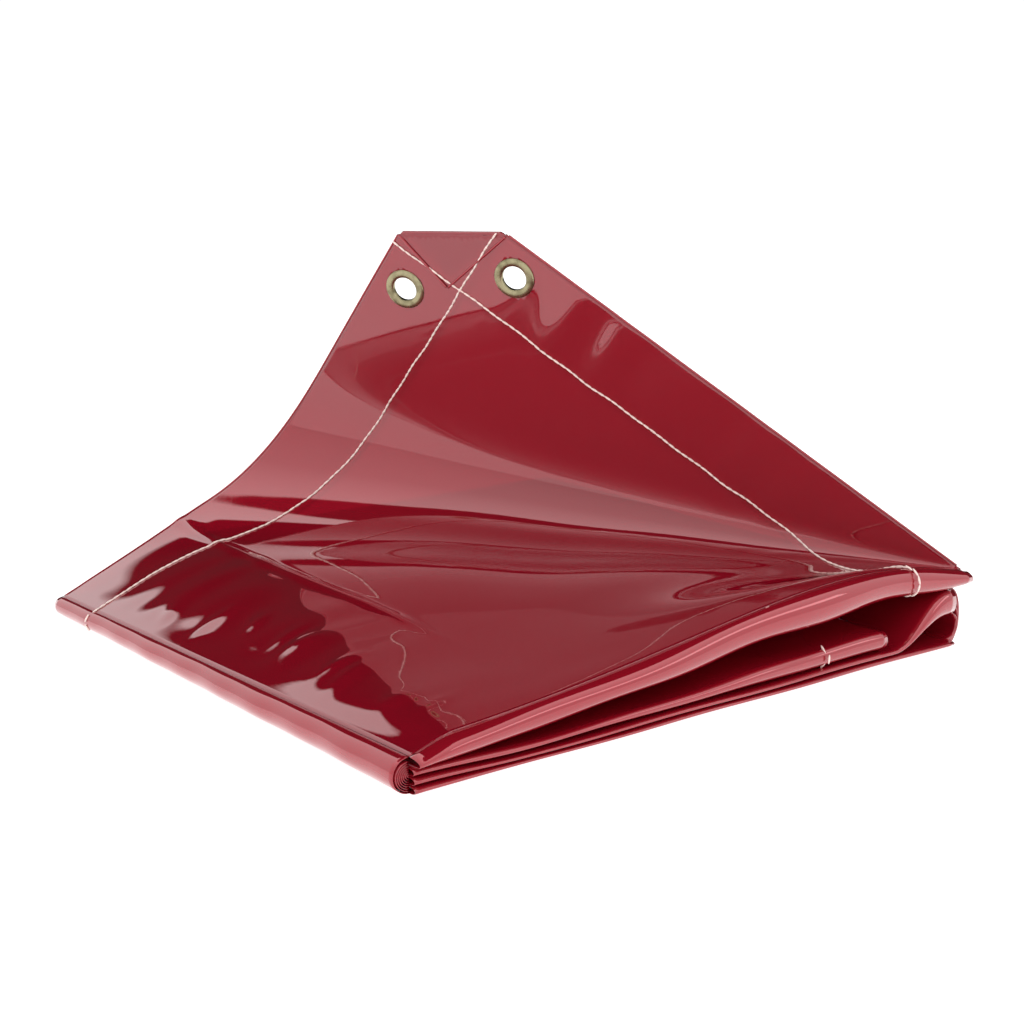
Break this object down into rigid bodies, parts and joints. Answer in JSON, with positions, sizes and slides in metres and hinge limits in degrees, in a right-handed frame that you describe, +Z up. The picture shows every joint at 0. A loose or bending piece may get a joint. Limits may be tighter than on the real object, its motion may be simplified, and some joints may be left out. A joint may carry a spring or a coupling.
{
  "type": "folded welding curtain screen",
  "caption": "Clear red vinyl welding curtain with stitched hems and metal eyelets, folded into a flat square packet with one top corner lifted.",
  "frame": {"origin": "middle of the base of the folded packet, on the surface that it lies on", "axes": "+Z up; +X from the left wrap towards the right end of the packet; +Y from the open front folds towards the back hem"},
  "size_m": [0.467, 0.4624, 0.2769],
  "materials": {
    "vinyl": "clear dark red, glossy, slightly wavy film",
    "thread": "pale lockstitch thread",
    "eyelet_metal": "pale plated brass, smooth rolled rim"
  },
  "bodies": {
    "packet": {"eyelet_bottom_1_barrel": "eyelet_metal", "eyelet_bottom_1_washer": "eyelet_metal", "eyelet_bottom_2_barrel": "eyelet_metal", "eyelet_bottom_2_washer": "eyelet_metal", "eyelet_bottom_3_barrel": "eyelet_metal", "eyelet_bottom_3_washer": "eyelet_metal", "eyelet_bottom_4_barrel": "eyelet_metal", "eyelet_bottom_4_washer": "eyelet_metal", "eyelet_left_1_barrel": "eyelet_metal", "eyelet_left_1_washer": "eyelet_metal", "eyelet_left_2_barrel": "eyelet_metal", "eyelet_left_2_washer": "eyelet_metal", "eyelet_left_3_barrel": "eyelet_metal", "eyelet_left_3_washer": "eyelet_metal", "eyelet_left_4_barrel": "eyelet_metal", "eyelet_left_4_washer": "eyelet_metal", "eyelet_right_2_barrel": "eyelet_metal", "eyelet_right_2_washer": "eyelet_metal", "eyelet_right_3_barrel": "eyelet_metal", "eyelet_right_3_washer": "eyelet_metal", "eyelet_right_4_barrel": "eyelet_metal", "eyelet_right_4_washer": "eyelet_metal", "eyelet_top_2_barrel": "eyelet_metal", "eyelet_top_2_washer": "eyelet_metal", "eyelet_top_3_barrel": "eyelet_metal", "eyelet_top_3_washer": "eyelet_metal", "eyelet_top_4_barrel": "eyelet_metal", "eyelet_top_4_washer": "eyelet_metal", "left_inner_turn_1": "vinyl", "left_inner_turn_2": "vinyl", "left_inner_turn_3": "vinyl", "left_inner_turn_4": "vinyl", "left_wrap_1": "vinyl", "left_wrap_2": "vinyl", "left_wrap_3": "vinyl", "left_wrap_4": "vinyl", "right_nose_1": "vinyl", "right_nose_2": "vinyl", "right_nose_3": "vinyl", "right_nose_4": "vinyl", "run_1_under_top": "vinyl", "run_2_bottom": "vinyl", "run_3_middle": "vinyl", "run_4_inner": "vinyl", "seam_left_packet": "thread", "seam_right_packet": "thread", "top_panel": "vinyl"},
    "corner": {"corner_flap": "vinyl", "corner_hem_left": "vinyl", "corner_hem_right": "vinyl", "eyelet_right_1_barrel": "eyelet_metal", "eyelet_right_1_washer": "eyelet_metal", "eyelet_top_1_barrel": "eyelet_metal", "eyelet_top_1_washer": "eyelet_metal", "seam_left_corner": "thread", "seam_right_corner": "thread"},
    "tip": {"corner_tip": "vinyl"}
  },
  "joints": [
    {"name": "corner_lift", "type": "hinge", "parent": "packet", "child": "corner", "pos_m": [0.07999, -0.00211, 0.07296], "axis": [-0.5708, 0.8173, 0.0779], "range_deg": [-40, 75]},
    {"name": "tip_fold", "type": "hinge", "parent": "corner", "child": "tip", "pos_m": [-0.00536, 0.03767, 0.27657], "axis": [0.5031, -0.8642, 0.0018], "range_deg": [0, 165]}
  ]
}
